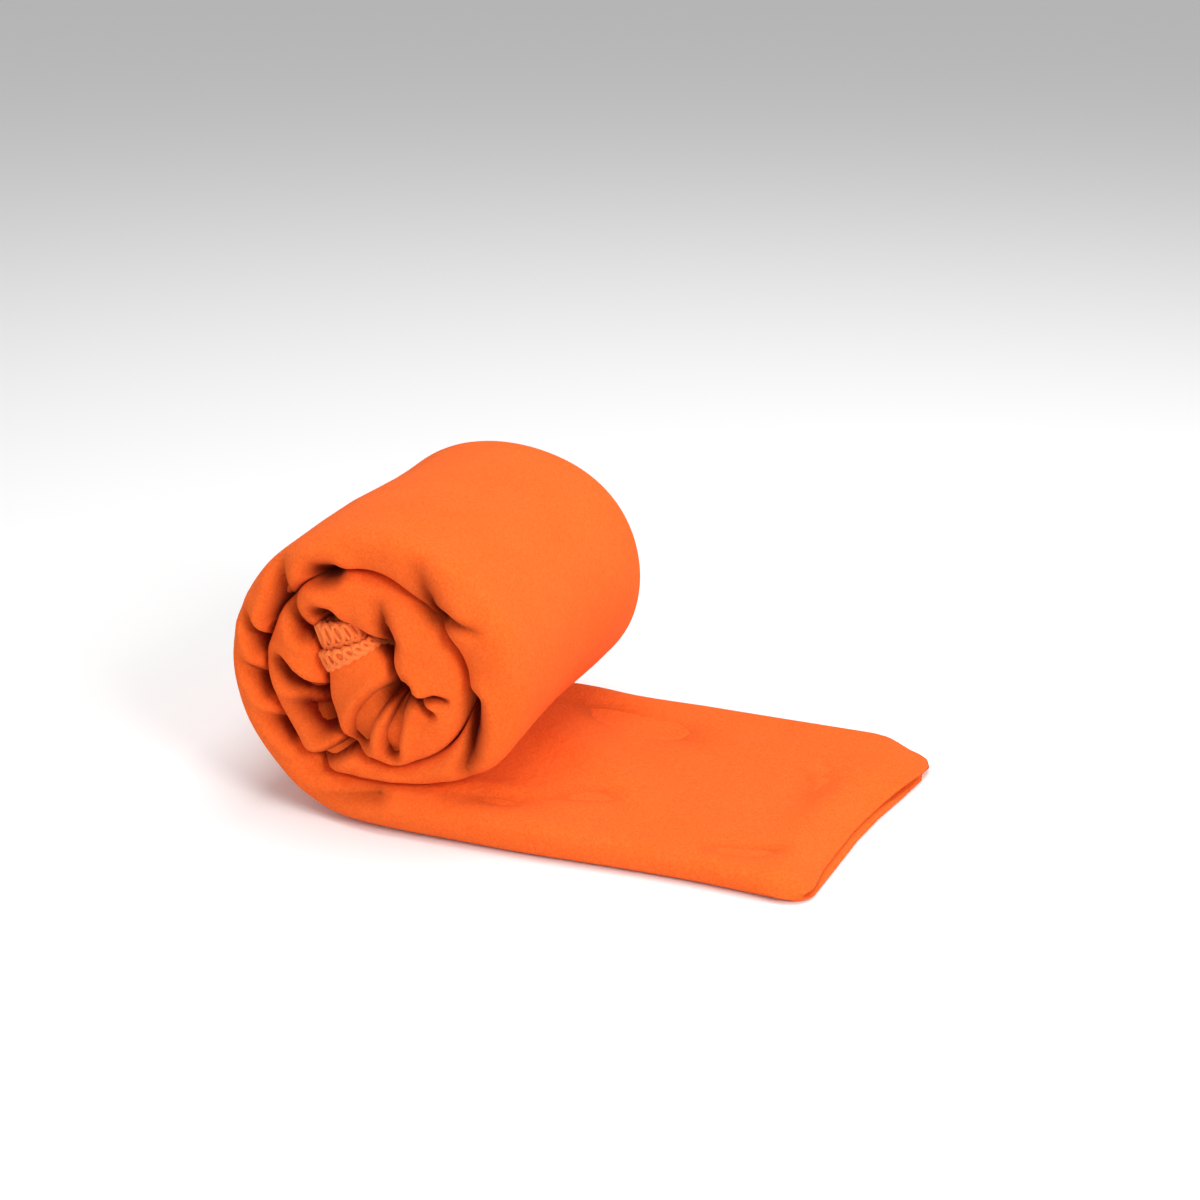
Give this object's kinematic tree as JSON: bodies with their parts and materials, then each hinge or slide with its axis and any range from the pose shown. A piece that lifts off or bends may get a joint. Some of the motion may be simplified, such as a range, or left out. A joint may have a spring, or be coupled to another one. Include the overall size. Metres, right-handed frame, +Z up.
{
  "type": "quick dry towel",
  "caption": "Soft microfibre travel towel, folded to a narrow strip and rolled up from one end, with the last stretch of the strip lying flat as a tail that can be lifted.",
  "frame": {"origin": "on the ground, in the middle of the towel's outline seen from above", "axes": "+Z up; +X along the flat tail, away from the roll; +Y along the roll's axis, from the round folds at the near side (-Y) to the layered edges at the far side"},
  "size_m": [0.159, 0.0834, 0.0777],
  "materials": {
    "cloth": "matte brushed microfibre suede, bright orange",
    "hem_thread": "fine overlock thread, a paler orange with a slight sheen"
  },
  "bodies": {
    "roll": {"outer_third_roll": "cloth", "first_third_roll": "cloth", "last_third_roll": "cloth", "short_hems_first_third": "hem_thread", "short_hems_last_third": "hem_thread", "short_hems_outer_third": "hem_thread", "first_long_hem_roll": "hem_thread", "last_long_hem_roll": "hem_thread"},
    "tail": {"outer_third_tail": "cloth", "first_third_tail": "cloth", "last_third_tail": "cloth", "first_long_hem_tail": "hem_thread", "last_long_hem_tail": "hem_thread"}
  },
  "joints": [
    {"name": "tail_lift", "type": "hinge", "parent": "roll", "child": "tail", "pos_m": [0.00513, 0, 0.0045], "axis": [0, -1, 0], "range_deg": [0, 90]}
  ]
}
